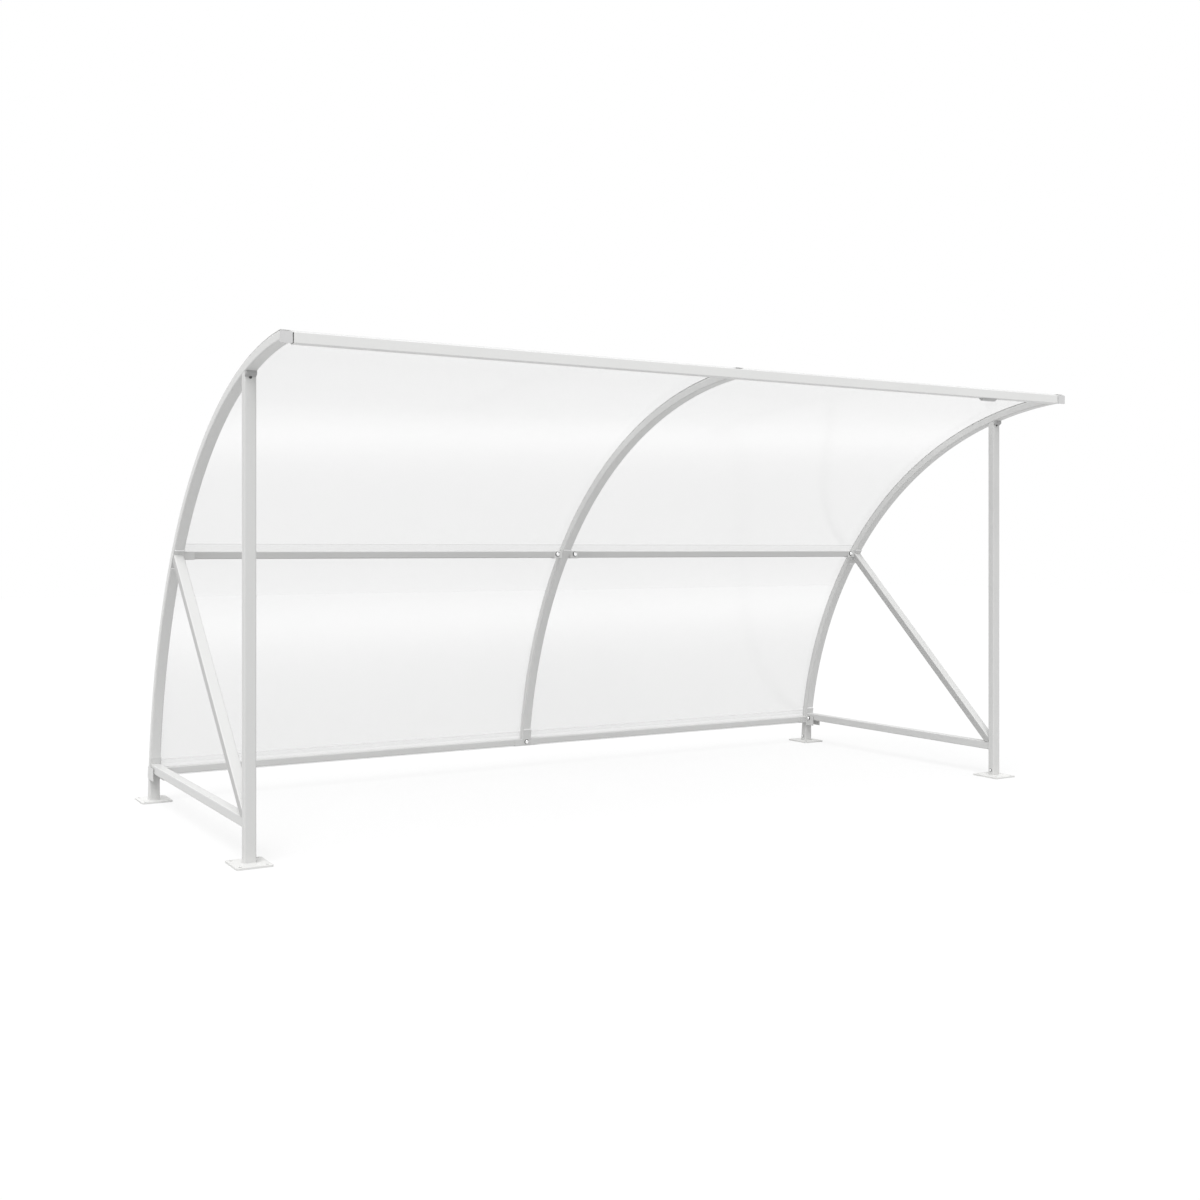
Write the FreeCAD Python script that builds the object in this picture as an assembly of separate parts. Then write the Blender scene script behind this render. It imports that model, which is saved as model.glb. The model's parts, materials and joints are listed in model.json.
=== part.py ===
import FreeCAD, Part
import math
import os

# Waiting shelter with an open front. Two welded end frames and three curved ribs carry clear curved
# sheets, tied by rails along the back and a beam along the front edge.
# Millimetres: +X along the shelter, +Y to the rear, +Z up. The pieces are drawn with Y = 0 on the
# front posts' axis, and are then moved so that the origin is the middle of the footprint.

# Bays, counted along the shelter
bay_length = 2100.0

# Ribs: a curved tube that follows one arc from the foot to the joint and another over the roof
rib_width = 50.0
rib_depth = 38.0
rib_wall = 3.0
rib_corner = 6.0
roof_radius = 2094.0
roof_centre_ahead = 540.0
roof_centre_drop = 50.0
back_radius = 2244.0
rib_joint_height = 1225.0

# Front posts
post_width = 50.0
post_depth = 38.0
post_wall = 3.0
post_corner = 6.0

# Base plates and the spigots that stand on them inside the posts and feet
plate_length = 150.0
plate_depth = 170.0
plate_thickness = 8.0
plate_corner = 10.0
anchor_spacing_x = 110.0
anchor_spacing_y = 130.0
anchor_hole_radius = 7.0
spigot_height = 70.0
spigot_wall = 3.0
spigot_clearance = 0.4

# Feet of the end ribs, tubes that stand over their spigots and carry the ribs inside the saddles
foot_overlap = 10.0
foot_wall = 3.0

# Rails along the back
rail_side = 36.0
rail_wall = 2.5
rail_corner = 5.0
bottom_rail_height = 148.0

# Side rails and braces of the end frames
side_rail_height = 42.0
side_rail_width = 44.0
side_rail_level = 167.0
frame_tube_wall = 2.5
frame_tube_corner = 5.0
brace_depth = 40.0
brace_width = 48.0
brace_top_drop = 10.0

# Joints: saddles over the ribs' inner face, with angle arms that carry the rails
saddle_wall = 3.0
saddle_clearance = 0.3
saddle_corner = 6.0
saddle_lip = 12.0
mid_saddle_rise = 4.0
middle_mid_saddle_drop = 4.0
end_mid_saddle_drop = 28.0
bottom_saddle_rise = 52.0
bottom_saddle_drop = 18.0
fork_reach = 76.0
fork_height = 62.0
fork_corner = 12.0
fork_rear_inset = 5.0
arm_length = 46.0
arm_clearance = 0.3
arm_wall = 3.0
arm_top_drop = 4.0

# Front beam, the caps on the end ribs and the angle brackets behind the beam
beam_reach = 455.0
beam_height = 44.0
beam_depth = 40.0
beam_wall = 2.5
beam_corner = 4.0
beam_end_gap = 5.0
cap_thickness = 4.0
cap_corner = 5.0
cap_plug_length = 20.0
cap_plug_clearance = 0.3
bracket_leg = 45.0
bracket_thickness = 4.0
bracket_height = 26.0

# Curved clear sheets and the clamping strips outside them
sheet_thickness = 3.0
sheet_joint_gap = 6.0
sheet_edge_inset = 3.0
sheet_lap_gap = 8.0
back_sheet_end_height = 118.0
roof_sheet_front_inset = 4.0
strip_width = 40.0
strip_thickness = 2.0
strip_end_inset = 6.0

# Derived places, seen from the side
roof_centre_y = -roof_centre_ahead
roof_centre_z = -roof_centre_drop
joint_angle = math.asin((rib_joint_height - roof_centre_z) / roof_radius)
brace_top_height = rib_joint_height - brace_top_drop
back_centre_y = roof_centre_y + (roof_radius - back_radius) * math.cos(joint_angle)
back_centre_z = roof_centre_z + (roof_radius - back_radius) * math.sin(joint_angle)
half_length = bay_length
spare_angle = 0.05
beam_front_y = -beam_reach
beam_rear_y = beam_front_y + beam_depth
cap_rear_y = beam_front_y + cap_thickness


def back_y(radius_offset, height):
    """Y of the back arc at a height, with its radius changed by an offset."""
    radius = back_radius + radius_offset
    return back_centre_y + math.sqrt(radius ** 2 - (height - back_centre_z) ** 2)


def roof_y(radius_offset, height):
    """Y of the roof arc at a height, with its radius changed by an offset."""
    radius = roof_radius + radius_offset
    return roof_centre_y + math.sqrt(radius ** 2 - (height - roof_centre_z) ** 2)


def roof_z(radius_offset, y):
    """Height of the roof arc at a Y, with its radius changed by an offset."""
    radius = roof_radius + radius_offset
    return roof_centre_z + math.sqrt(radius ** 2 - (y - roof_centre_y) ** 2)


rib_inner = -rib_depth / 2
rib_outer = rib_depth / 2
sheet_outer = rib_outer + sheet_thickness
saddle_inner = rib_inner - saddle_clearance - saddle_wall
rail_end = rib_width / 2 + saddle_clearance + saddle_wall
foot_y = back_y(0, plate_thickness)
end_saddle_low = bottom_rail_height - rail_side / 2 - bottom_saddle_drop
foot_top = end_saddle_low + foot_overlap
foot_front_y = back_y(rib_inner, end_saddle_low)
beam_top_z = roof_z(rib_outer, beam_rear_y)
shift = FreeCAD.Vector(0, -(beam_front_y + foot_y + plate_depth / 2) / 2, 0)


def box(x0, x1, y0, y1, z0, z1):
    """Block between two corners."""
    return Part.makeBox(x1 - x0, y1 - y0, z1 - z0, FreeCAD.Vector(x0, y0, z0))


def rounded_face(width, height, corner):
    """Rectangle in the XY plane about the origin, with round corners."""
    a = width / 2
    b = height / 2
    c = corner * (1 - math.sqrt(0.5))
    corners = [(a, b, 1, 1), (-a, b, -1, 1), (-a, -b, -1, -1), (a, -b, 1, -1)]
    edges = []
    last = None
    first = None
    for index, (x, y, sx, sy) in enumerate(corners):
        on_side = FreeCAD.Vector(x, y - sy * corner, 0)
        on_end = FreeCAD.Vector(x - sx * corner, y, 0)
        start, stop = (on_side, on_end) if index % 2 == 0 else (on_end, on_side)
        middle = FreeCAD.Vector(x - sx * c, y - sy * c, 0)
        if last is not None:
            edges.append(Part.LineSegment(last, start).toShape())
        else:
            first = start
        edges.append(Part.Arc(start, middle, stop).toShape())
        last = stop
    edges.append(Part.LineSegment(last, first).toShape())
    return Part.Face(Part.Wire(edges))


def tube_face(width, height, wall, corner):
    """Section of a rectangular tube, in the XY plane about the origin."""
    inner_corner = max(corner - wall, 0.5)
    outer = rounded_face(width, height, corner)
    return outer.cut(rounded_face(width - 2 * wall, height - 2 * wall, inner_corner)).Faces[0]


def along_x(face, x0, x1, y, z):
    """Solid from a section, its width along Y and its height along Z, run along X."""
    placed = face.copy()
    placed.Placement = FreeCAD.Placement(FreeCAD.Vector(x0, y, z),
                                         FreeCAD.Rotation(FreeCAD.Vector(1, 1, 1), 120))
    return placed.extrude(FreeCAD.Vector(x1 - x0, 0, 0))


def along_y(face, x, z, y0, y1):
    """Solid from a section, its width along X and its height along Z, run along Y."""
    placed = face.copy()
    placed.Placement = FreeCAD.Placement(FreeCAD.Vector(x, y0, z),
                                         FreeCAD.Rotation(FreeCAD.Vector(1, 0, 0), 90))
    return placed.extrude(FreeCAD.Vector(0, y1 - y0, 0))


def upright(face, x, y, z0, z1):
    """Solid from a section, its width along X and its height along Y, run up Z."""
    placed = face.copy()
    placed.translate(FreeCAD.Vector(x, y, z0))
    return placed.extrude(FreeCAD.Vector(0, 0, z1 - z0))


def bent(face, x, arc, offset, start, stop):
    """Solid from a section bent along the back or the roof arc, between two angles in radians."""
    centre_y, centre_z, radius = arc
    centre = FreeCAD.Vector(x, centre_y, centre_z)
    placed = face.copy()
    placed.Placement = FreeCAD.Placement(FreeCAD.Vector(x, centre_y + radius + offset, centre_z),
                                         FreeCAD.Rotation())
    placed.rotate(centre, FreeCAD.Vector(1, 0, 0), math.degrees(start))
    return placed.revolve(centre, FreeCAD.Vector(1, 0, 0), math.degrees(stop - start))


def plain_face(width, depth):
    """Rectangle in the XY plane about the origin."""
    return Part.makePlane(width, depth, FreeCAD.Vector(-width / 2, -depth / 2, 0))


back_arc = (back_centre_y, back_centre_z, back_radius)
roof_arc = (roof_centre_y, roof_centre_z, roof_radius)


def back_angle(height, offset=0.0):
    """Angle on the back arc at a height."""
    return math.asin((height - back_centre_z) / (back_radius + offset))


def roof_angle_at_height(height, offset=0.0):
    """Angle on the roof arc at a height, on its rear side."""
    return math.asin((height - roof_centre_z) / (roof_radius + offset))


def roof_angle_at_y(y, offset=0.0):
    """Angle on the roof arc at a Y."""
    return math.acos((y - roof_centre_y) / (roof_radius + offset))


def inside_back(radius_offset, x0, x1):
    """Solid disc of the back arc, to cut ends that meet it."""
    return Part.makeCylinder(back_radius + radius_offset, x1 - x0,
                             FreeCAD.Vector(x0, back_centre_y, back_centre_z), FreeCAD.Vector(1, 0, 0))


def inside_roof(radius_offset, x0, x1):
    """Solid disc of the roof arc, to cut ends that meet it."""
    return Part.makeCylinder(roof_radius + radius_offset, x1 - x0,
                             FreeCAD.Vector(x0, roof_centre_y, roof_centre_z), FreeCAD.Vector(1, 0, 0))


def base_plate(x, y):
    """Steel plate with four anchor holes."""
    plate = upright(rounded_face(plate_length, plate_depth, plate_corner), x, y, 0, plate_thickness)
    for side_x in (-1, 1):
        for side_y in (-1, 1):
            at = FreeCAD.Vector(x + side_x * anchor_spacing_x / 2, y + side_y * anchor_spacing_y / 2, 0)
            plate = plate.cut(Part.makeCylinder(anchor_hole_radius, plate_thickness, at))
    return plate


def front_base_plate(x):
    """Plate with a square spigot that stands up inside the post."""
    width = post_width - 2 * post_wall - 2 * spigot_clearance
    depth = post_depth - 2 * post_wall - 2 * spigot_clearance
    spigot = upright(tube_face(width, depth, spigot_wall, spigot_wall), x, 0, plate_thickness,
                     plate_thickness + spigot_height)
    return base_plate(x, 0).fuse(spigot).removeSplitter()


def rear_base_plate(x):
    """Plate with an upright spigot that fills the foot's hollow at the spigot's top."""
    inset = foot_wall + spigot_clearance
    top = plate_thickness + spigot_height
    ahead = foot_front_y + inset
    behind = back_y(rib_outer - inset, top)
    spigot = upright(tube_face(rib_width - 2 * inset, behind - ahead, spigot_wall, spigot_wall), x,
                     (ahead + behind) / 2, plate_thickness, top)
    return base_plate(x, foot_y).fuse(spigot).removeSplitter()


def band(section, x, low, high, offset=0.0):
    """Length of a section bent along the back arc, cut level at two heights."""
    piece = bent(section, x, back_arc, offset, back_angle(low) - spare_angle, back_angle(high) + spare_angle)
    return piece.common(box(x - bay_length, x + bay_length, -bay_length, 2 * bay_length, low, high))


def front_post(x):
    """Square post from its plate to the underside of the rib, cut to the rib's curve."""
    tube = upright(tube_face(post_width, post_depth, post_wall, post_corner), x, 0, plate_thickness,
                   roof_z(0, 0))
    return tube.common(inside_roof(rib_inner, x - post_width, x + post_width))


def rib_section():
    """Section of a rib tube."""
    return tube_face(rib_width, rib_depth, rib_wall, rib_corner)


def is_end(x):
    """Whether a rib stands at one end of the shelter."""
    return abs(x) > bay_length / 2


def lower_rib(x):
    """Curved tube from the foot or bottom rail up to the joint."""
    low = foot_top if is_end(x) else bottom_rail_height - rail_side / 2
    tube = bent(rib_section(), x, back_arc, 0, back_angle(low) - spare_angle, joint_angle)
    return tube.cut(box(x - rib_width, x + rib_width, foot_y - bay_length, foot_y + bay_length,
                        low - bay_length, low))


def upper_rib(x):
    """Curved tube from the joint over the roof to the front edge."""
    end_y = cap_rear_y if is_end(x) else beam_rear_y
    tube = bent(rib_section(), x, roof_arc, 0, joint_angle, roof_angle_at_y(end_y) + spare_angle)
    return tube.cut(box(x - rib_width, x + rib_width, end_y - bay_length, end_y,
                        0, roof_z(rib_outer, end_y) + rib_depth))


def foot_block(x, inset):
    """Block under an end rib, upright in front and on the rib's arc behind, less a wall all round."""
    width = rib_width - 2 * inset
    depth = 2 * rib_depth
    corner = rib_corner - inset
    ahead = upright(rounded_face(width, 2 * depth, corner), x, foot_front_y + inset + depth,
                    plate_thickness, foot_top)
    behind = bent(rounded_face(width, depth, corner), x, back_arc, rib_outer - inset - depth / 2,
                  back_angle(plate_thickness) - spare_angle, back_angle(foot_top) + spare_angle)
    return ahead.common(behind)


def foot_sleeve(x):
    """Foot of an end rib, a tube that is deeper at its plate than under the rib."""
    return foot_block(x, 0).cut(foot_block(x, foot_wall))


def mid_rail_rear_y():
    """Rear face of the middle rail, whose upper rear edge bears on the sheet."""
    return roof_y(rib_outer, rib_joint_height + rail_side / 2)


def bottom_rail_rear_y():
    """Rear face of the bottom rail, whose upper rear edge bears on the sheet."""
    return back_y(rib_outer, bottom_rail_height + rail_side / 2)


def rail(side, rear_y, level):
    """Square tube between two ribs, laid on the joints' arms."""
    low, high = sorted((side * rail_end, side * (half_length - rail_end)))
    return along_x(tube_face(rail_side, rail_side, rail_wall, rail_corner), low, high,
                   rear_y - rail_side / 2, level)


def saddle_section():
    """Channel over a rib's inner face, with a short lip round each of its corners."""
    grow = saddle_clearance + saddle_wall
    outer = rounded_face(rib_width + 2 * grow, rib_depth + 2 * grow, saddle_corner)
    inner = rounded_face(rib_width + 2 * saddle_clearance, rib_depth + 2 * saddle_clearance, rib_corner)
    beyond = plain_face(2 * rib_width, 2 * rib_depth)
    beyond.translate(FreeCAD.Vector(0, rib_inner + saddle_lip + rib_depth, 0))
    return outer.cut(inner).cut(beyond).Faces[0]


def on_line(edge, y, z):
    """Whether an edge runs along X at a given Y and height."""
    centre = edge.CenterOfMass
    return abs(centre.y - y) < 0.01 and abs(centre.z - z) < 0.01


def cheek_x(x, side):
    """X of a side plate's inner face, just off the rib's side."""
    return x + side * (rib_width / 2 + saddle_clearance)


def arm(x, side, rear_y, level):
    """Angle under and in front of a rail's end, closed by a cheek on the rib's side."""
    front = rear_y - rail_side - arm_clearance - arm_wall
    bottom = level - rail_side / 2 - arm_clearance - arm_wall
    top = level + rail_side / 2 - arm_top_drop
    low, high = sorted((cheek_x(x, side), x + side * (rail_end + arm_length)))
    block = box(low, high, front, rear_y - arm_wall, bottom, top)
    block = block.makeFillet(arm_wall, [e for e in block.Edges if on_line(e, front, bottom)])
    low, high = sorted((x + side * rail_end, x + side * (rail_end + 2 * arm_length)))
    return block.cut(box(low, high, front + arm_wall, rear_y + rail_side, bottom + arm_wall, top + rail_side))


def rail_sides(x):
    """Sides of a rib that have rails, -1 for the left and 1 for the right."""
    return [side for side in (-1, 1) if abs(x + side * bay_length) < 1.5 * bay_length]


def arms(x, rear_y, level):
    """Arms on the sides of a rib that have a rail."""
    return [arm(x, side, rear_y, level) for side in rail_sides(x)]


def mid_joint(x):
    """Saddle over the meeting of both rib tubes, with arms for the middle rails."""
    low = rib_joint_height - rail_side / 2 - middle_mid_saddle_drop
    if is_end(x):
        low = brace_top_height - brace_depth / 2 - end_mid_saddle_drop
    high = rib_joint_height + rail_side / 2 + mid_saddle_rise
    below = bent(saddle_section(), x, back_arc, 0, back_angle(low) - spare_angle, joint_angle)
    above = bent(saddle_section(), x, roof_arc, 0, joint_angle, roof_angle_at_height(high) + spare_angle)
    left = x - (rib_width if x - bay_length > -1.5 * bay_length else rib_width / 2)
    right = x + (rib_width if x + bay_length < 1.5 * bay_length else rib_width / 2)
    saddle = below.fuse(above).common(box(left, right, 0, 2 * bay_length, low, high))
    return saddle.fuse(arms(x, mid_rail_rear_y(), rib_joint_height)).removeSplitter()


def fork_plate(x, side):
    """Side plate of an end rib's bottom joint, which reaches forward along the side rail."""
    low, high = sorted((cheek_x(x, side), x + side * rail_end))
    front = foot_front_y - fork_reach
    plate = box(low, high, front, foot_y + rib_depth, end_saddle_low, end_saddle_low + fork_height)
    radius_offset = rib_outer - fork_rear_inset
    plate = plate.common(inside_back(radius_offset, low, high))
    corner_y = back_y(radius_offset, end_saddle_low)
    return plate.makeFillet(fork_corner, [e for e in plate.Edges if on_line(e, corner_y, end_saddle_low)])


def bottom_joint(x):
    """Saddle low on the rib, with arms for the bottom rails and a fork for a side rail."""
    low = bottom_rail_height - rail_side / 2 - arm_clearance - arm_wall
    pieces = arms(x, bottom_rail_rear_y(), bottom_rail_height)
    if is_end(x):
        low = end_saddle_low
        pieces += [fork_plate(x, -1), fork_plate(x, 1)]
    high = bottom_rail_height + rail_side / 2 + bottom_saddle_rise
    return band(saddle_section(), x, low, high).fuse(pieces).removeSplitter()


def side_rail(x):
    """Level tube from the front post to the bottom joint of the end rib."""
    section = tube_face(side_rail_width, side_rail_height, frame_tube_wall, frame_tube_corner)
    tube = along_y(section, x, side_rail_level, post_depth / 2, foot_y)
    return tube.common(inside_back(saddle_inner, x - rib_width, x + rib_width))


def brace(x):
    """Sloping tube from the corner of post and side rail up to the joint of the end rib."""
    rail_top = side_rail_level + side_rail_height / 2
    foot = FreeCAD.Vector(x, post_depth / 2, rail_top)
    top = FreeCAD.Vector(x, roof_y(rib_inner, brace_top_height), brace_top_height)
    tilt = math.degrees(math.atan2(top.z - foot.z, top.y - foot.y))
    direction = (top - foot).normalize()
    section = tube_face(brace_width, brace_depth, frame_tube_wall, frame_tube_corner)
    section.Placement = FreeCAD.Placement(foot - direction * (2 * brace_depth),
                                          FreeCAD.Rotation(FreeCAD.Vector(1, 0, 0), tilt - 90))
    tube = section.extrude(direction * (foot.distanceToPoint(top) + 4 * brace_depth))
    tube = tube.common(inside_back(saddle_inner, x - rib_width, x + rib_width))
    tube = tube.common(inside_roof(saddle_inner, x - rib_width, x + rib_width))
    below = box(x - rib_width, x + rib_width, 0, foot_y, 0, rail_top)
    before = box(x - rib_width, x + rib_width, -bay_length, post_depth / 2, 0, roof_radius)
    return tube.cut(below).cut(before)


def front_beam():
    """Tube along the front edge, between the end ribs and past the middle one."""
    end = half_length - rib_width / 2 - beam_end_gap
    section = tube_face(beam_depth, beam_height, beam_wall, beam_corner)
    return along_x(section, -end, end, beam_front_y + beam_depth / 2, beam_top_z - beam_height / 2)


def rib_cap(x):
    """Plastic cap on the front end of an end rib, with a plug inside the tube."""
    face = rounded_face(rib_width, beam_height, cap_corner)
    plate = along_y(face, x, beam_top_z - beam_height / 2, beam_front_y, cap_rear_y)
    take = 2 * rib_wall + 2 * cap_plug_clearance
    section = rounded_face(rib_width - take, rib_depth - take, rib_wall)
    stop = roof_angle_at_y(cap_rear_y) + spare_angle
    start = roof_angle_at_y(cap_rear_y + cap_plug_length)
    plug = bent(section, x, roof_arc, 0, start, stop)
    plug = plug.cut(box(x - rib_width, x + rib_width, beam_front_y - bay_length, cap_rear_y, 0, roof_radius))
    return plate.fuse(plug).removeSplitter()


def angle_bracket(x, side):
    """Angle behind the beam, one leg on the rib's side and one on the beam's rear face."""
    z0 = beam_top_z - beam_height / 2 - bracket_height / 2
    z1 = z0 + bracket_height
    near = x + side * rib_width / 2
    low, high = sorted((near, near + side * bracket_thickness))
    on_rib = box(low, high, beam_rear_y, beam_rear_y + bracket_leg, z0, z1)
    low, high = sorted((near, near + side * bracket_leg))
    on_beam = box(low, high, beam_rear_y, beam_rear_y + bracket_thickness, z0, z1)
    return on_rib.fuse(on_beam).removeSplitter()


def beam_bracket(x):
    """Angle brackets on the sides of a rib that have a stretch of beam."""
    return Part.makeCompound([angle_bracket(x, side) for side in rail_sides(x)])


def sheet_span(side):
    """X of a sheet's two edges, in order."""
    return sorted((side * sheet_joint_gap / 2, side * (half_length + rib_width / 2 - sheet_edge_inset)))


def roof_sheet(side):
    """Curved clear sheet over the roof of one bay."""
    x0, x1 = sheet_span(side)
    section = plain_face(x1 - x0, sheet_thickness)
    stop = roof_angle_at_y(beam_front_y + roof_sheet_front_inset)
    start = joint_angle + sheet_lap_gap / 2 / roof_radius
    return bent(section, (x0 + x1) / 2, roof_arc, rib_outer + sheet_thickness / 2, start, stop)


def back_sheet(side):
    """Curved clear sheet over the back of one bay."""
    x0, x1 = sheet_span(side)
    section = plain_face(x1 - x0, sheet_thickness)
    stop = joint_angle - sheet_lap_gap / 2 / back_radius
    return bent(section, (x0 + x1) / 2, back_arc, rib_outer + sheet_thickness / 2,
                back_angle(back_sheet_end_height, rib_outer), stop)


def roof_strip(x):
    """Clamping strip outside the roof sheets, over a rib."""
    section = plain_face(strip_width, strip_thickness)
    stop = roof_angle_at_y(beam_front_y + roof_sheet_front_inset + strip_end_inset)
    start = joint_angle + sheet_lap_gap / 2 / roof_radius
    return bent(section, x, roof_arc, sheet_outer + strip_thickness / 2, start, stop)


def back_strip(x):
    """Clamping strip outside the back sheets, over a rib."""
    section = plain_face(strip_width, strip_thickness)
    stop = joint_angle - sheet_lap_gap / 2 / back_radius
    return bent(section, x, back_arc, sheet_outer + strip_thickness / 2,
                back_angle(back_sheet_end_height + strip_end_inset, rib_outer), stop)


parts = {}


def add(name, shape):
    """Keep a piece under its name."""
    parts[name] = shape


sides = (("left", -1), ("right", 1))
ribs = (("left", -half_length), ("middle", 0.0), ("right", half_length))

for name, side in sides:
    x = side * half_length
    add("front_%s_base_plate" % name, front_base_plate(x))
    add("rear_%s_base_plate" % name, rear_base_plate(x))
    add("%s_front_post" % name, front_post(x))
    add("%s_foot_sleeve" % name, foot_sleeve(x))
    add("%s_side_rail" % name, side_rail(x))
    add("%s_brace" % name, brace(x))
    add("%s_rib_cap" % name, rib_cap(x))
    add("%s_mid_rail" % name, rail(side, mid_rail_rear_y(), rib_joint_height))
    add("%s_bottom_rail" % name, rail(side, bottom_rail_rear_y(), bottom_rail_height))
    add("%s_roof_sheet" % name, roof_sheet(side))
    add("%s_back_sheet" % name, back_sheet(side))
for name, x in ribs:
    add("%s_lower_rib" % name, lower_rib(x))
    add("%s_upper_rib" % name, upper_rib(x))
    add("%s_mid_joint" % name, mid_joint(x))
    add("%s_bottom_joint" % name, bottom_joint(x))
    add("%s_beam_bracket" % name, beam_bracket(x))
    add("%s_roof_strip" % name, roof_strip(x))
    add("%s_back_strip" % name, back_strip(x))
add("front_beam", front_beam())

os.makedirs("parts", exist_ok=True)
for name, shape in parts.items():
    shape = shape.copy()
    shape.translate(shift)
    shape.exportStep("parts/%s.step" % name)
    print(name, "valid" if shape.isValid() else "NOT VALID", len(shape.Solids), round(shape.Volume))
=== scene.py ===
import json
import math

import bpy
from mathutils import Matrix, Vector


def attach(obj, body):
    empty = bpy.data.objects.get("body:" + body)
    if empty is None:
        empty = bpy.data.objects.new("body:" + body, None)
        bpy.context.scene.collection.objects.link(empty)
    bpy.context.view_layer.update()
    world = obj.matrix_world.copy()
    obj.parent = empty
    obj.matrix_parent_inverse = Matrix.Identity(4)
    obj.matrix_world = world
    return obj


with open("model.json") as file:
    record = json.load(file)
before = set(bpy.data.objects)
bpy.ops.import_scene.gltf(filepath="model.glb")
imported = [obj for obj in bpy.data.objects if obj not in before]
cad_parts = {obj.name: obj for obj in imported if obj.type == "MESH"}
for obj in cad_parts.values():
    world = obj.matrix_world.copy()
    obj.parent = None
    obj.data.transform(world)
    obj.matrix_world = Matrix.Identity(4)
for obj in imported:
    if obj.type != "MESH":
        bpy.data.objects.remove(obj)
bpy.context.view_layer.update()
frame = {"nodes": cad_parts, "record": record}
nodes = frame["nodes"]
print("frame loaded with", len(nodes), "nodes")


# a socket that takes part in sums, each sign adding one Math node
class Wire:
    def __init__(self, tree, socket):
        self.tree = tree
        self.socket = socket

    def math(self, operation, other, swapped=False):
        node = self.tree.nodes.new("ShaderNodeMath")
        node.operation = operation
        terms = (other, self) if swapped else (self, other)
        for socket, term in zip(node.inputs, terms):
            plug(self.tree, socket, term)
        return Wire(self.tree, node.outputs[0])

    def __add__(self, other):
        return self.math("ADD", other)

    def __radd__(self, other):
        return self.math("ADD", other, True)

    def __sub__(self, other):
        return self.math("SUBTRACT", other)

    def __rsub__(self, other):
        return self.math("SUBTRACT", other, True)

    def __mul__(self, other):
        return self.math("MULTIPLY", other)

    def __rmul__(self, other):
        return self.math("MULTIPLY", other, True)

    def __truediv__(self, other):
        return self.math("DIVIDE", other)

    def __rtruediv__(self, other):
        return self.math("DIVIDE", other, True)

    def capped(self):
        return self.math("MINIMUM", 1.0).math("MAXIMUM", 0.0)

    # 1 between two values and 0 outside them
    def between(self, low, high, sharp):
        return ((self - low) * sharp).capped() * ((high - self) * sharp).capped()

    def atLeast(self, least):
        return self.math("MAXIMUM", least)


def plug(tree, socket, value):
    if isinstance(value, Wire):
        tree.links.new(value.socket, socket)
    else:
        socket.default_value = value


class Shader:
    def __init__(self, tree):
        self.tree = tree
        tree.nodes.clear()

    # one node: its type, its settings, what goes into its sockets, and the socket that comes out
    def add(self, kind, settings=None, sockets=None, output=0):
        node = self.tree.nodes.new(kind)
        for name, value in (settings or {}).items():
            setattr(node, name, value)
        for name, value in (sockets or {}).items():
            plug(self.tree, node.inputs[name], value)
        return Wire(self.tree, node.outputs[output]) if node.outputs else node

    def place(self, scale=(1, 1, 1)):
        spot = self.add("ShaderNodeTexCoord", output="Object")
        return self.add("ShaderNodeMapping", None, {"Vector": spot, "Scale": scale})

    # one of X, Y and Z of the place, by number
    def along(self, axis):
        return self.add("ShaderNodeSeparateXYZ", None, {"Vector": self.place()}, axis)

    def facingUp(self):
        normal = self.add("ShaderNodeTexCoord", output="Normal")
        return self.add("ShaderNodeSeparateXYZ", None, {"Vector": normal}, 2)

    def noise(self, scale, detail=3.0, stretch=(1, 1, 1), rough=0.5):
        return self.add("ShaderNodeTexNoise", {"noise_dimensions": "3D"},
                        {"Vector": self.place(stretch), "Scale": scale,
                         "Detail": detail, "Roughness": rough})

    def blend(self, share, first, second):
        return self.add("ShaderNodeMix", {"data_type": "RGBA"}, {0: share, 6: first, 7: second}, 2)

    def bump(self, height, strength, distance):
        return self.add("ShaderNodeBump", None,
                        {"Height": height, "Strength": strength, "Distance": distance})

    def surface(self, sockets):
        return self.add("ShaderNodeBsdfPrincipled", None, sockets)

    def seenRays(self):
        kinds = [self.add("ShaderNodeLightPath", output="Is %s Ray" % kind)
                 for kind in ("Camera", "Glossy", "Transmission")]
        return (kinds[0] + kinds[1] + kinds[2]).capped()

    def finish(self, surface):
        self.add("ShaderNodeOutputMaterial", None, {"Surface": surface})


def newMaterial(name):
    material = bpy.data.materials.new(name)
    material.use_nodes = True
    return material, Shader(material.node_tree)


def grey(level, tint=(1.0, 1.0, 1.0)):
    return (level * tint[0], level * tint[1], level * tint[2], 1.0)


powderCoat = {
    "level": 0.650, "tint": (1.0, 1.002, 0.992), "mottle": 0.035, "cloudPerMetre": 2.6,
    "grainPerMetre": 900.0, "grainDepth": 0.00006, "grain": 0.25,
    "rough": 0.42, "roughSpread": 0.10,
    "dustHeight": 0.12, "dust": 0.05, "dustColour": (0.42, 0.39, 0.34, 1.0),
    "rubPerMetre": 46.0, "rub": 0.03, "splashPerMetre": 28.0, "topPaintedLight": 0.0, "topPaintedLightLevel": 0.66,
}


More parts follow.
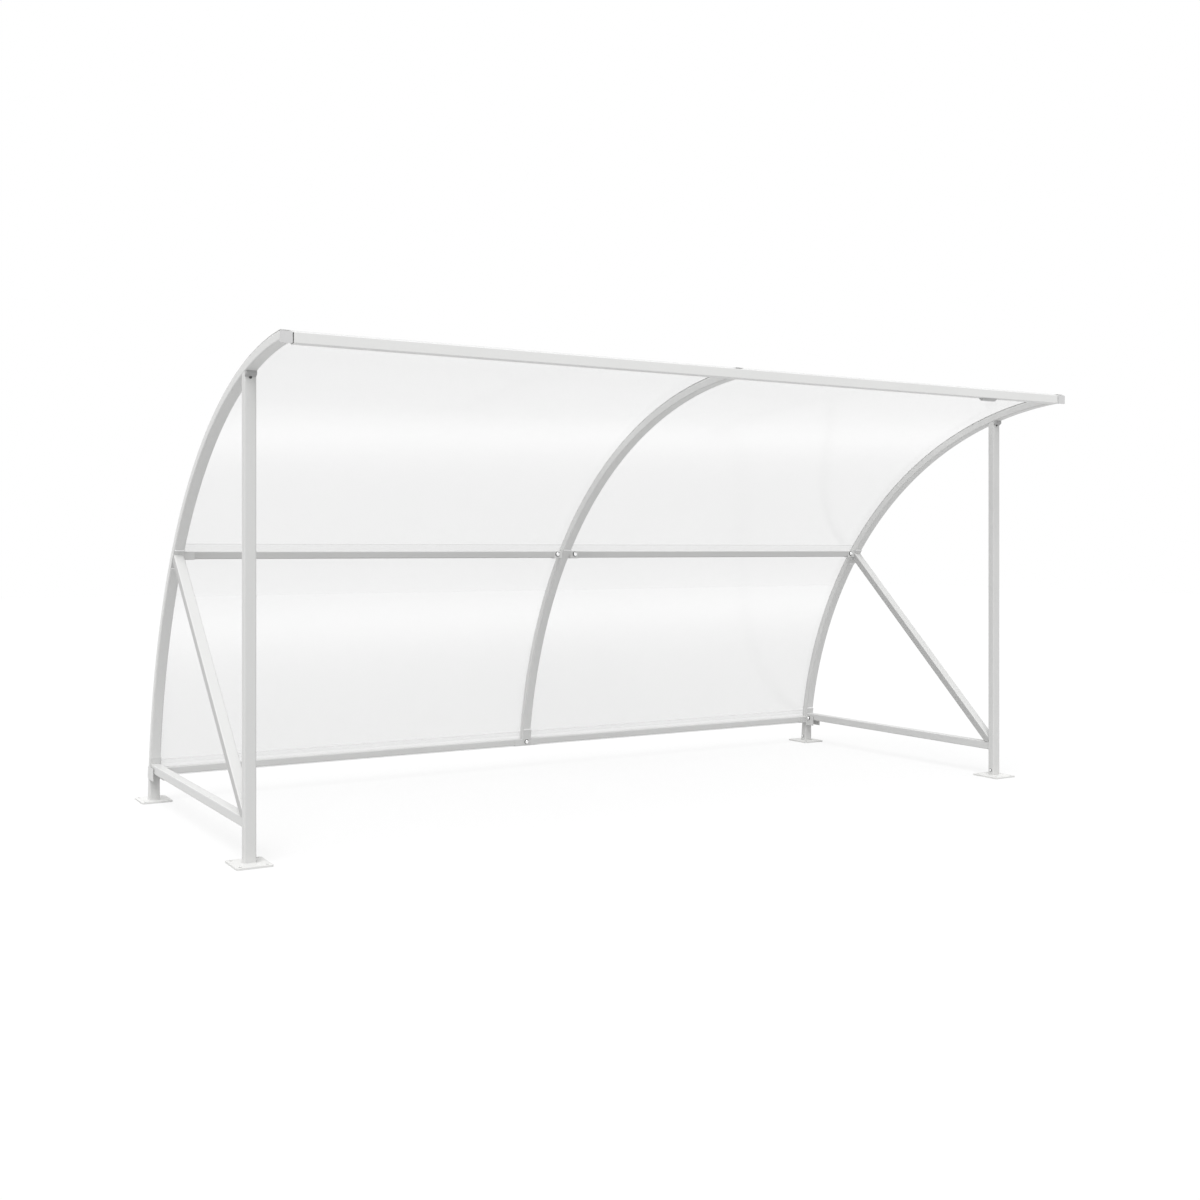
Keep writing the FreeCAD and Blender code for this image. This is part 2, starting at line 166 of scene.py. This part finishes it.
def makePowderCoat(name, look):
    material, shader = newMaterial(name)
    cloud = shader.noise(look["cloudPerMetre"], 4.0)
    speck = shader.noise(look["grainPerMetre"], 2.0)
    rub = (shader.noise(look["rubPerMetre"], 5.0, (1.0, 1.0, 0.35), 0.65) * 3 - 1.7).capped()
    darker = grey(look["level"] * (1 - look["mottle"]), look["tint"])
    paler = grey(look["level"] * (1 + look["mottle"]), look["tint"])
    paint = shader.blend(cloud, darker, paler)
    paint = shader.blend(rub * look["rub"] * 4, paint, grey(look["level"] * 0.8))
    # faces that point up are painted paler: painted light on the tops
    if look["topPaintedLight"]:
        paintedLitTop = ((shader.facingUp() - 0.3) * 4).capped() * look["topPaintedLight"]
        paint = shader.blend(paintedLitTop, paint, grey(look["topPaintedLightLevel"], look["tint"]))
    low = (1 - shader.along(2) / look["dustHeight"]).capped()
    splash = low * shader.noise(look["splashPerMetre"], 5.0) * look["dust"] * 2
    paint = shader.blend(splash.capped(), paint, look["dustColour"])
    rough = look["rough"] + (cloud - 0.5) * look["roughSpread"] + splash + rub * look["rub"]
    shader.finish(shader.surface({
        "Base Color": paint, "Roughness": rough,
        "Normal": shader.bump(speck, look["grain"], look["grainDepth"]),
    }))
    return material


framePaint = makePowderCoat("frame_powder_coat", powderCoat)
# the rib coat is a paler copy of the frame coat: painted light on the ribs
ribPaintedLightCoat = makePowderCoat("rib_coat_painted_light", {**powderCoat, "level": 0.70})
jointPaint = makePowderCoat("joint_powder_coat", {**powderCoat, "level": 0.65, "grainPerMetre": 700.0})
# the rail and brace coats are darker copies of the frame coat, painted shade, with their tops painted paler
# as painted light
railPaintedShadeCoat = makePowderCoat("rail_coat_painted_shade", {**powderCoat, "level": 0.54, "topPaintedLight": 0.9})
bracePaintedShadeCoat = makePowderCoat("brace_coat_painted_shade", {**powderCoat, "level": 0.48, "topPaintedLight": 1.0})
# the beam coat is a paler copy of the frame coat: painted light on the beam
beamPaintedLightCoat = makePowderCoat("beam_coat_painted_light", {**powderCoat, "level": 0.765})
platePaint = makePowderCoat("plate_powder_coat", {**powderCoat, "level": 0.75, "dust": 0.07, "rough": 0.5})
stripPaint = makePowderCoat("strip_powder_coat", {**powderCoat, "level": 0.68})

# the sheet's veil is thinner in two soft bands, which are painted reflections at fixed heights, and doubled
# where sheets lap above the rails
satinSheet = {
    "level": 0.72, "tint": (1.0, 1.003, 1.0), "rough": 0.32,
    "veil": 0.150, "lowPaintedShade": 0.050, "lowFrom": 1.4,
    "roofPaintedReflection": {"height": 1.822, "lean": 0.033, "width": 0.11, "depth": 0.112},
    "backPaintedReflection": {"height": 0.890, "lean": 0.010, "width": 0.19, "depth": 0.108},
    "laps": ((1.246, 1.280), (0.180, 0.205)), "lapVeil": 0.055, "lapSharp": 1500,
    "lapEdge": 0.10, "lapEdgeWidth": 0.004, "leastVeil": 0.03,
    "shine": 0.035, "shineRough": 0.14, "wavesPerMetre": 2.4, "wave": 0.10, "waveHeight": 0.004,
    "cloud": 0.018, "cloudPerMetre": 1.7, "frostPerMetre": 9.0, "frost": 0.06,
}


def makeSatinSheet(name, look):
    material, shader = newMaterial(name)
    height = shader.along(2)
    # below lowFrom the veil grows denser towards the bottom: painted shade
    veil = look["veil"] + (look["lowFrom"] - height).atLeast(0.0) * look["lowPaintedShade"]
    # each band thins the veil where a reflection is painted
    for reflection in (look["roofPaintedReflection"], look["backPaintedReflection"]):
        off = (height - reflection["height"] - shader.along(0) * reflection["lean"]) / reflection["width"]
        veil = veil - reflection["depth"] / (1 + off * off)
    veil = veil + (shader.noise(look["cloudPerMetre"], 3.0) - 0.5) * look["cloud"]
    for low, high in look["laps"]:
        veil = veil + height.between(low, high, look["lapSharp"]) * look["lapVeil"]
        edge = height.between(high - look["lapEdgeWidth"], high, look["lapSharp"])
        veil = veil + edge * look["lapEdge"]
    wave = shader.bump(shader.noise(look["wavesPerMetre"], 1.0), look["wave"], look["waveHeight"])
    pane = shader.surface({
        "Base Color": grey(look["level"], look["tint"]), "Alpha": veil.atLeast(look["leastVeil"]),
        "Roughness": look["rough"] + shader.noise(look["frostPerMetre"], 4.0) * look["frost"],
        "Normal": wave,
    })
    shine = shader.add("ShaderNodeBsdfAnisotropic", None,
                       {"Color": (1, 1, 1, 1), "Roughness": look["shineRough"], "Normal": wave})
    shader.finish(shader.add("ShaderNodeMixShader", None, {0: look["shine"], 1: pane, 2: shine}))
    return material


sheetPlastic = makeSatinSheet("satin_sheet_plastic", satinSheet)

mouldedPlastic = {
    "level": 0.64, "mottle": 0.04, "cloudPerMetre": 22.0, "rough": 0.5, "roughSpread": 0.12,
    "grainPerMetre": 1400.0, "grain": 0.35, "grainDepth": 0.0001,
}


def makeMouldedPlastic(name, look):
    material, shader = newMaterial(name)
    grain = shader.noise(look["grainPerMetre"], 2.0)
    cloud = shader.noise(look["cloudPerMetre"], 3.0)
    darker = grey(look["level"] * (1 - look["mottle"]))
    paler = grey(look["level"] * (1 + look["mottle"]))
    shader.finish(shader.surface({
        "Base Color": shader.blend(cloud, darker, paler),
        "Roughness": look["rough"] + grain * look["roughSpread"],
        "Normal": shader.bump(grain, look["grain"], look["grainDepth"]),
    }))
    return material


capPlastic = makeMouldedPlastic("cap_plastic", mouldedPlastic)
# the liners' near-white is a painted highlight
linerPaintedHighlight = makeMouldedPlastic("liner_painted_highlight", {**mouldedPlastic, "level": 0.95, "rough": 0.3})
# the wedges' dark grey is painted shade under the ribs
bracketPaintedShade = makeMouldedPlastic("bracket_painted_shade", {**mouldedPlastic, "level": 0.42, "rough": 0.55})
clipPlastic = makeMouldedPlastic("clip_plastic", {**mouldedPlastic, "level": 0.56})
# near-black rubber for the seal washers and the bolt washers; under the dome bolts it also serves as
# painted shade
rubberAndShadeBlack = makeMouldedPlastic("washer_rubber_and_shade", {**mouldedPlastic, "level": 0.05, "rough": 0.62})

brightSteel = {
    "level": 0.93, "darkest": 0.93, "palest": 1.05, "rough": 0.16, "roughSpread": 0.14,
    "scratchesPerMetre": 500.0, "scratch": 0.12, "scratchDepth": 0.00008,
}


def makeBrightSteel(name, look):
    material, shader = newMaterial(name)
    scratch = shader.noise(look["scratchesPerMetre"], 3.0, (1.0, 1.0, 0.2))
    shader.finish(shader.surface({
        "Base Color": shader.blend(scratch, grey(look["level"] * look["darkest"]),
                                   grey(look["level"] * look["palest"])),
        "Metallic": 1.0,
        "Roughness": look["rough"] + scratch * look["roughSpread"],
        "Normal": shader.bump(scratch, look["scratch"], look["scratchDepth"]),
    }))
    return material


boltSteel = makeBrightSteel("bolt_steel", brightSteel)
darkSteel = makeBrightSteel("dark_bolt_steel", {**brightSteel, "level": 0.10, "rough": 0.36})

finishOf = {
    "frame_paint": framePaint, "joint_paint": jointPaint, "base_plate": platePaint,
    "clear_sheet": sheetPlastic, "clamping_strip": stripPaint, "plastic_cap": capPlastic,
}
# these parts take paler and darker copies of the frame coat: painted light and painted shade
ownFinish = {
    "front_beam": beamPaintedLightCoat, "left_mid_rail": railPaintedShadeCoat, "right_mid_rail": railPaintedShadeCoat,
    "left_brace": bracePaintedShadeCoat, "right_brace": bracePaintedShadeCoat,
    **{side + part: ribPaintedLightCoat
       for side in ("left", "middle", "right") for part in ("_upper_rib", "_lower_rib")},
}
slotOf = {row["node"]: row["material_slot"] for row in frame["record"]["subparts"]}
for name, node in nodes.items():
    node.data.materials.clear()
    node.data.materials.append(ownFinish.get(name, finishOf[slotOf[name]]))
print("finishes made and given to the frame's pieces")


def selectNothing():
    if bpy.context.mode != "OBJECT":
        bpy.ops.object.mode_set(mode="OBJECT")
    bpy.ops.object.select_all(action="DESELECT")


def freshObject(name):
    piece = bpy.context.object
    piece.name = name
    piece.data.name = name
    return piece


# goes into edit mode with those faces selected whose centre and normal pass a test
def pickFaces(piece, test):
    bpy.ops.object.mode_set(mode="EDIT")
    bpy.ops.mesh.select_mode(type="FACE")
    bpy.ops.mesh.select_all(action="DESELECT")
    bpy.ops.object.mode_set(mode="OBJECT")
    for face in piece.data.polygons:
        face.select = test(face.center, face.normal)
    bpy.ops.object.mode_set(mode="EDIT")


def pickPoints(piece, test):
    bpy.ops.object.mode_set(mode="EDIT")
    bpy.ops.mesh.select_mode(type="VERT")
    bpy.ops.mesh.select_all(action="DESELECT")
    bpy.ops.object.mode_set(mode="OBJECT")
    for point in piece.data.vertices:
        point.select = test(point.co)
    bpy.ops.object.mode_set(mode="EDIT")


def outwardAndSmooth(degrees):
    bpy.ops.mesh.select_all(action="SELECT")
    bpy.ops.mesh.normals_make_consistent(inside=False)
    bpy.ops.object.mode_set(mode="OBJECT")
    bpy.ops.object.shade_smooth_by_angle(angle=math.radians(degrees))


def dress(piece, material):
    piece.data.materials.clear()
    piece.data.materials.append(material)
    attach(piece, "root")
    return piece


# a copy with its own mesh, whose +Z is turned to a direction and whose origin is moved to a point
def copyTo(master, name, point, direction, size=1.0):
    piece = master.copy()
    piece.data = master.data.copy()
    bpy.context.scene.collection.objects.link(piece)
    piece.name = name
    turn = Vector((0, 0, 1)).rotation_difference(Vector(direction)).to_matrix().to_4x4()
    piece.data.transform(Matrix.Translation(Vector(point)) @ turn @ Matrix.Scale(size, 4))
    return piece


# where a line first meets a piece, and the way that face points
def surfaceAt(nodeName, start, direction):
    found, spot, normal, _ = nodes[nodeName].ray_cast(Vector(start), Vector(direction).normalized())
    if not found:
        raise ValueError("no surface of %s on that line" % nodeName)
    if normal.dot(Vector(direction)) > 0:
        normal = -normal
    return spot, normal


def boxOf(nodeName):
    corners = [Vector(corner) for corner in nodes[nodeName].bound_box]
    low = Vector([min(corner[axis] for corner in corners) for axis in range(3)])
    high = Vector([max(corner[axis] for corner in corners) for axis in range(3)])
    return low, high


halfLength = 2.1
ends = (("left", -halfLength, 1), ("right", halfLength, -1))
ribs = (("left", -halfLength), ("middle", 0.0), ("right", halfLength))

domeBolt = {
    "radius": 0.0105, "height": 0.0055, "rim": 0.0012, "segments": 28,
    "washerRadius": 0.0132, "washerHeight": 0.0012, "washerBevel": 0.0004,
    "armReach": 0.055, "armHeight": 1.227, "lowHeight": 0.149, "standOff": 0.3,
    "forkAhead": 0.033, "forkHeight": 0.158, "footHeight": 0.035, "footSize": 0.62,
    "postTop": 1.937, "postTopSize": 0.50,
}


def makeDomeBolt(look):
    selectNothing()
    bpy.ops.mesh.primitive_uv_sphere_add(segments=look["segments"], ring_count=16, radius=look["radius"])
    bolt = freshObject("dome_bolt_master")
    bpy.ops.object.mode_set(mode="EDIT")
    bpy.ops.mesh.select_all(action="SELECT")
    bpy.ops.mesh.bisect(plane_co=(0, 0, 0), plane_no=(0, 0, 1), use_fill=True, clear_inner=True)
    bpy.ops.mesh.select_all(action="SELECT")
    bpy.ops.transform.resize(value=(1, 1, look["height"] / look["radius"]))
    bpy.ops.transform.translate(value=(0, 0, look["rim"]))
    pickFaces(bolt, lambda centre, normal: normal.z < -0.9)
    bpy.ops.mesh.extrude_region_move(TRANSFORM_OT_translate={"value": (0, 0, -look["rim"])})
    outwardAndSmooth(40)
    return bolt


def makeDisc(name, radius, low, height, sides, bevel):
    selectNothing()
    bpy.ops.mesh.primitive_cylinder_add(vertices=sides, radius=radius, depth=height, location=(0, 0, 0))
    disc = freshObject(name)
    bpy.ops.object.mode_set(mode="EDIT")
    bpy.ops.mesh.select_all(action="SELECT")
    bpy.ops.transform.translate(value=(0, 0, low + height / 2))
    pickFaces(disc, lambda centre, normal: normal.z > 0.9)
    bpy.ops.mesh.bevel(offset=bevel, segments=2)
    outwardAndSmooth(35)
    return disc


boltMaster = makeDomeBolt(domeBolt)
shadeRingMaster = makeDisc("bolt_shade_washer_master", domeBolt["washerRadius"], 0.0, domeBolt["washerHeight"],
                      domeBolt["segments"], domeBolt["washerBevel"])
boltCount = 0


def putBolt(nodeName, start, direction, size=1.0, material=boltSteel):
    global boltCount
    spot, normal = surfaceAt(nodeName, start, direction)
    boltCount += 1
    lifted = spot + normal * domeBolt["washerHeight"] * size
    dress(copyTo(boltMaster, "dome_bolt_%02d" % boltCount, lifted, normal, size), material)
    # the dark washer ring is a rubber washer that also stands in for the shade at the bolt head: painted
    # shade
    dress(copyTo(shadeRingMaster, "bolt_shade_washer_%02d" % boltCount, spot, normal, size), rubberAndShadeBlack)


for side in (-1, 1):
    putBolt("middle_mid_joint", (side * domeBolt["armReach"], -1.0, domeBolt["armHeight"]), (0, 1, 0))
putBolt("right_mid_joint", (halfLength - domeBolt["armReach"], -1.0, domeBolt["armHeight"]), (0, 1, 0))
putBolt("middle_bottom_joint", (0.0, -1.0, domeBolt["lowHeight"]), (0, 1, 0))
for name, x, inward in ends:
    postMiddle = (boxOf(name + "_front_post")[0].y + boxOf(name + "_front_post")[1].y) / 2
    footLow, footHigh = boxOf(name + "_foot_sleeve")
    innerX = x + inward * domeBolt["standOff"]
    forkY = footLow.y - domeBolt["forkAhead"]
    putBolt(name + "_bottom_joint", (innerX, forkY, domeBolt["forkHeight"]), (-inward, 0, 0))
    putBolt(name + "_front_post", (innerX, postMiddle, domeBolt["footHeight"]), (-inward, 0, 0),
            domeBolt["footSize"])
    putBolt(name + "_foot_sleeve", (innerX, (footLow.y + footHigh.y) / 2, domeBolt["footHeight"]),
            (-inward, 0, 0), domeBolt["footSize"])
    putBolt(name + "_front_post", (x, -1.0, domeBolt["postTop"]), (0, 1, 0),
            domeBolt["postTopSize"], darkSteel)
bpy.data.objects.remove(boltMaster)
bpy.data.objects.remove(shadeRingMaster)
print("dome bolts placed:", boltCount)

# white liners where the covers on the ribs end; their near-white colour is a painted highlight along that
# edge
highlightLiner = {
    "width": 0.044, "length": 0.0060, "height": 0.0040, "bevel": 0.0012, "segments": 3,
    "midTop": 1.2488, "endMidLow": 1.1652, "bottomTop": 0.2198,
}


def makeHighlightLiner(look):
    selectNothing()
    bpy.ops.mesh.primitive_cube_add(size=1.0)
    liner = freshObject("highlight_liner_master")
    bpy.ops.object.mode_set(mode="EDIT")
    bpy.ops.mesh.select_all(action="SELECT")
    bpy.ops.transform.resize(value=(look["width"], look["length"], look["height"]))
    bpy.ops.transform.translate(value=(0, 0, look["height"] / 2))
    bpy.ops.mesh.bevel(offset=look["bevel"], segments=look["segments"])
    outwardAndSmooth(50)
    return liner


linerMaster = makeHighlightLiner(highlightLiner)
for name, x in ribs:
    seats = [("upper_rib", highlightLiner["midTop"])]
    if name != "middle":
        seats.append(("lower_rib", highlightLiner["endMidLow"]))
    if name != "left":
        seats.append(("lower_rib", highlightLiner["bottomTop"]))
    for index, (piece, height) in enumerate(seats):
        spot, normal = surfaceAt("%s_%s" % (name, piece), (x, -1.0, height), (0, 1, 0))
        liner = copyTo(linerMaster, "%s_highlight_liner_%d" % (name, index + 1), spot, normal)
        dress(liner, linerPaintedHighlight)
bpy.data.objects.remove(linerMaster)
print("cover liners placed")

# hexagon screws with sealing washers along the clamping strips
stripScrew = {
    "washerRadius": 0.0080, "washerHeight": 0.0022, "flangeRadius": 0.0064, "flangeHeight": 0.0012,
    "headRadius": 0.0047, "headHeight": 0.0040, "bevel": 0.0004, "segments": 24, "above": 0.1,
    "roofCount": 7, "backCount": 5, "firstRoof": 0.13, "lastRoof": 0.05, "endBack": 0.05,
}
arcs = {
    "roof": {"centreY": -1.145018, "centreZ": -0.050, "outside": 2.118, "from": 37.62, "to": 87.43},
    "back": {"centreY": -1.264007, "centreZ": -0.141333, "outside": 2.268, "from": 6.73, "to": 37.40},
}


def makeScrewHead(look):
    flange = makeDisc("screw_head_master", look["flangeRadius"], look["washerHeight"],
                      look["flangeHeight"], look["segments"], look["bevel"])
    headLow = look["washerHeight"] + look["flangeHeight"]
    head = makeDisc("screw_hexagon", look["headRadius"], headLow, look["headHeight"], 6, look["bevel"])
    selectNothing()
    head.select_set(True)
    flange.select_set(True)
    bpy.context.view_layer.objects.active = flange
    bpy.ops.object.join()
    return flange


screwMaster = makeScrewHead(stripScrew)
washerMaster = makeDisc("seal_washer_master", stripScrew["washerRadius"], 0.0, stripScrew["washerHeight"],
                        stripScrew["segments"], stripScrew["bevel"] * 2)
screwCount = 0
for name, x in ribs:
    for part, count in (("roof", stripScrew["roofCount"]), ("back", stripScrew["backCount"])):
        arc = arcs[part]
        lowTurn = stripScrew["lastRoof"] if part == "roof" else stripScrew["endBack"]
        highTurn = stripScrew["firstRoof"] if part == "roof" else stripScrew["endBack"]
        start = math.radians(arc["from"]) + lowTurn / arc["outside"]
        stop = math.radians(arc["to"]) - highTurn / arc["outside"]
        for index in range(count):
            turn = start + (stop - start) * index / (count - 1)
            outward = Vector((0, math.cos(turn), math.sin(turn)))
            centre = Vector((x, arc["centreY"], arc["centreZ"]))
            above = centre + outward * (arc["outside"] + stripScrew["above"])
            spot, normal = surfaceAt("%s_%s_strip" % (name, part), above, -outward)
            screwCount += 1
            washer = copyTo(washerMaster, "seal_washer_%02d" % screwCount, spot, outward)
            dress(washer, rubberAndShadeBlack)
            screw = copyTo(screwMaster, "strip_screw_%02d" % screwCount, spot, outward)
            dress(screw, boltSteel)
bpy.data.objects.remove(screwMaster)
bpy.data.objects.remove(washerMaster)
print("strip screws placed:", screwCount)

weldBead = {"radius": 0.0026, "step": 0.0022, "ripple": 0.16, "ripplesPerMetre": 210.0, "sides": 2}


# points round a rectangle with round corners, at even steps
def roundedLoop(width, height, corner, step):
    points = []
    arcSteps = max(3, int(corner * math.pi / 2 / step))
    spans = ((1, 1, 0), (-1, 1, 90), (-1, -1, 180), (1, -1, 270))
    for signX, signY, first in spans:
        centre = (signX * (width / 2 - corner), signY * (height / 2 - corner))
        for index in range(arcSteps + 1):
            turn = math.radians(first + 90.0 * index / arcSteps)
            points.append((centre[0] + corner * math.cos(turn), centre[1] + corner * math.sin(turn)))
    dense = []
    for index, point in enumerate(points):
        following = points[(index + 1) % len(points)]
        length = math.dist(point, following)
        pieces = max(1, round(length / step))
        for part in range(pieces):
            share = part / pieces
            dense.append((point[0] + (following[0] - point[0]) * share,
                          point[1] + (following[1] - point[1]) * share))
    return dense


def makeBead(name, points, closed, look, material):
    curve = bpy.data.curves.new(name, "CURVE")
    curve.dimensions = "3D"
    spline = curve.splines.new("POLY")
    spline.points.add(len(points) - 1)
    run = 0.0
    for index, point in enumerate(points):
        if index:
            run += (Vector(point) - Vector(points[index - 1])).length
        spline.points[index].co = (*point, 1.0)
        turn = run * look["ripplesPerMetre"] * 2 * math.pi
        spline.points[index].radius = 1 + look["ripple"] * math.sin(turn)
    spline.use_cyclic_u = closed
    curve.bevel_depth = look["radius"]
    curve.bevel_resolution = look["sides"]
    curve.use_fill_caps = not closed
    bead = bpy.data.objects.new(name, curve)
    bpy.context.scene.collection.objects.link(bead)
    selectNothing()
    bead.select_set(True)
    bpy.context.view_layer.objects.active = bead
    bpy.ops.object.convert(target="MESH")
    bead = bpy.context.object
    bpy.ops.object.mode_set(mode="EDIT")
    outwardAndSmooth(60)
    return dress(bead, material)


def ringBead(name, centre, across, up, width, height, corner, material=framePaint):
    loop = roundedLoop(width, height, corner, weldBead["step"])
    points = [tuple(Vector(centre) + Vector(across) * a + Vector(up) * b) for a, b in loop]
    return makeBead(name, points, True, weldBead, material)


def lineBead(name, start, stop, material=framePaint):
    count = max(2, round((Vector(stop) - Vector(start)).length / weldBead["step"]))
    points = [tuple(Vector(start).lerp(Vector(stop), index / count)) for index in range(count + 1)]
    return makeBead(name, points, False, weldBead, material)


weldSeats = {
    "postCorner": 0.006, "railCorner": 0.005, "braceWidth": 0.048, "braceDepth": 0.0402,
    "braceTopY": 0.497382, "braceTopZ": 1.2127, "braceTopTurn": 37.56,
    "braceFootRun": 0.0291, "braceFootRise": 0.0275, "plateTop": 0.008,
}
for name, x, inward in ends:
    plateTop = weldSeats["plateTop"]
    postLow, postHigh = boxOf(name + "_front_post")
    footLow, footHigh = boxOf(name + "_foot_sleeve")
    railLow, railHigh = boxOf(name + "_side_rail")
    ringBead(name + "_post_weld", (x, (postLow.y + postHigh.y) / 2, plateTop), (1, 0, 0), (0, 1, 0),
             postHigh.x - postLow.x, postHigh.y - postLow.y, weldSeats["postCorner"])
    ringBead(name + "_foot_weld", (x, (footLow.y + footHigh.y) / 2, plateTop), (1, 0, 0), (0, 1, 0),
             footHigh.x - footLow.x, footHigh.y - footLow.y, weldSeats["postCorner"],
             railPaintedShadeCoat)
    ringBead(name + "_rail_weld", (x, railLow.y, (railLow.z + railHigh.z) / 2), (1, 0, 0), (0, 0, 1),
             railHigh.x - railLow.x, railHigh.z - railLow.z, weldSeats["railCorner"])
    turn = math.radians(weldSeats["braceTopTurn"])
    ringBead(name + "_brace_top_weld", (x, weldSeats["braceTopY"], weldSeats["braceTopZ"]), (1, 0, 0),
             (0, -math.sin(turn), math.cos(turn)), weldSeats["braceWidth"], weldSeats["braceDepth"],
             weldSeats["railCorner"])
    half = weldSeats["braceWidth"] / 2 - weldSeats["railCorner"]
    footY = railLow.y + weldSeats["braceFootRun"]
    headZ = railHigh.z + weldSeats["braceFootRise"]
    lineBead(name + "_brace_rail_weld", (x - half, footY, railHigh.z), (x + half, footY, railHigh.z))
    lineBead(name + "_brace_post_weld", (x - half, railLow.y, headZ), (x + half, railLow.y, headZ))
print("weld beads laid")

# dark wedges where the front posts meet the ribs, which stand in for the shade there as painted shade, and
# a clip under the beam
postShadeWedge = {"width": 0.046, "drop": 0.021, "reach": 0.013, "gap": 0.0003, "bevel": 0.0012}


def makePostShadeWedge(name, x, look):
    frontY = boxOf(name + "_front_post")[0].y
    roofSpots = [surfaceAt(name + "_upper_rib", (x, frontY - back, 1.5), (0, 0, 1))[0].z
                 for back in (0.0005, look["reach"])]
    selectNothing()
    bpy.ops.mesh.primitive_cube_add(size=1.0)
    shadeWedge = freshObject(name + "_post_shade_wedge")
    bpy.ops.object.mode_set(mode="EDIT")
    bpy.ops.mesh.select_all(action="SELECT")
    bpy.ops.transform.resize(value=(look["width"], look["reach"], look["drop"]))
    middle = roofSpots[0] - look["drop"] / 2 - look["gap"]
    bpy.ops.transform.translate(value=(x, frontY - look["reach"] / 2 - look["gap"], middle))
    pickPoints(shadeWedge, lambda place: place.y < frontY - look["reach"] / 2 and place.z > middle)
    bpy.ops.transform.translate(value=(0, 0, roofSpots[1] - roofSpots[0]))
    pickPoints(shadeWedge, lambda place: place.y < frontY - look["reach"] / 2 and place.z < middle)
    bpy.ops.transform.translate(value=(0, 0, look["drop"] * 0.45))
    bpy.ops.mesh.select_mode(type="FACE")
    bpy.ops.mesh.select_all(action="SELECT")
    bpy.ops.mesh.bevel(offset=look["bevel"], segments=2)
    outwardAndSmooth(40)
    return dress(shadeWedge, bracketPaintedShade)


for name, x, inward in ends:
    makePostShadeWedge(name, x, postShadeWedge)

beamClip = {
    "low": 1.529, "high": 1.627, "y": -1.040, "depth": 0.026, "drop": 0.012, "inset": 0.004, "bevel": 0.001,
}


def makeBeamClip(look):
    middle = (look["low"] + look["high"]) / 2
    under = surfaceAt("front_beam", (middle, look["y"], 1.5), (0, 0, 1))[0].z
    selectNothing()
    bpy.ops.mesh.primitive_cube_add(size=1.0)
    clip = freshObject("beam_underside_clip")
    bpy.ops.object.mode_set(mode="EDIT")
    bpy.ops.mesh.select_all(action="SELECT")
    bpy.ops.transform.resize(value=(look["high"] - look["low"], look["depth"], look["drop"] / 2))
    bpy.ops.transform.translate(value=(middle, look["y"], under - look["drop"] / 4))
    pickFaces(clip, lambda centre, normal: normal.z < -0.9)
    bpy.ops.mesh.inset(thickness=look["inset"])
    bpy.ops.mesh.extrude_region_move(TRANSFORM_OT_translate={"value": (0, 0, -look["drop"] / 2)})
    bpy.ops.mesh.select_all(action="SELECT")
    bpy.ops.mesh.bevel(offset=look["bevel"], segments=2)
    outwardAndSmooth(40)
    return dress(clip, clipPlastic)


makeBeamClip(beamClip)
print("brackets and clip made")

studio = {
    "floorSide": 60.0, "floorAlbedo": 0.54, "floorShow": 0.34, "floorGlow": 0.78,
    "sky": 0.75, "keyPower": 2.0, "keyWay": (0.38, 0.40, -0.88), "keySpread": 40,
    "fillPower": 0.25, "fillWay": (-0.15, -0.80, -0.50), "fillSpread": 60,
}

selectNothing()
bpy.ops.mesh.primitive_plane_add(size=studio["floorSide"], location=(0, 0, 0))
floor = freshObject("studio_floor")
material, shader = newMaterial("floor_paint")
albedo = studio["floorAlbedo"]
floorReal = shader.add("ShaderNodeBsdfDiffuse", None, {"Color": grey(albedo)})
floorShaded = shader.add("ShaderNodeBsdfDiffuse", None, {"Color": grey(albedo * studio["floorShow"])})
floorGlow = shader.add("ShaderNodeEmission", None, {"Color": (1, 1, 1, 1), "Strength": studio["floorGlow"]})
floorSeen = shader.add("ShaderNodeAddShader", None, {0: floorShaded, 1: floorGlow})
shader.finish(shader.add("ShaderNodeMixShader", None, {0: shader.seenRays(), 1: floorReal, 2: floorSeen}))
floor.data.materials.append(material)

world = bpy.data.worlds.new("studio_world")
bpy.context.scene.world = world
world.use_nodes = True
shader = Shader(world.node_tree)
skyStrength = shader.seenRays() * (1 - studio["sky"]) + studio["sky"]
backdrop = shader.add("ShaderNodeBackground", None, {"Color": (1, 1, 1, 1), "Strength": skyStrength})
shader.add("ShaderNodeOutputWorld", None, {"Surface": backdrop})


def addSun(name, power, way, spread):
    selectNothing()
    bpy.ops.object.light_add(type="SUN", location=(0, 0, 6))
    lamp = bpy.context.object
    lamp.name = name
    lamp.data.energy = power
    lamp.data.angle = math.radians(spread)
    lamp.rotation_mode = "QUATERNION"
    lamp.rotation_quaternion = Vector(way).to_track_quat("-Z", "Y")


addSun("key_light", studio["keyPower"], studio["keyWay"], studio["keySpread"])
addSun("fill_light", studio["fillPower"], studio["fillWay"], studio["fillSpread"])

photoCamera = {
    "place": (-3.720, -5.874, 1.255), "turn": 29.94, "lens": 40.54, "shiftX": 0.03558, "shiftY": -0.0425,
}
selectNothing()
bpy.ops.object.camera_add(location=photoCamera["place"],
                          rotation=(math.radians(90), 0, math.radians(-photoCamera["turn"])))
camera = bpy.context.object
camera.name = "photo_camera"
camera.data.sensor_width = 36.0
camera.data.lens = photoCamera["lens"]
camera.data.shift_x = photoCamera["shiftX"]
camera.data.shift_y = photoCamera["shiftY"]
camera.data.clip_end = 200.0
bpy.context.scene.camera = camera
bpy.context.scene.view_settings.view_transform = "Standard"
print("floor, lights and camera ready")
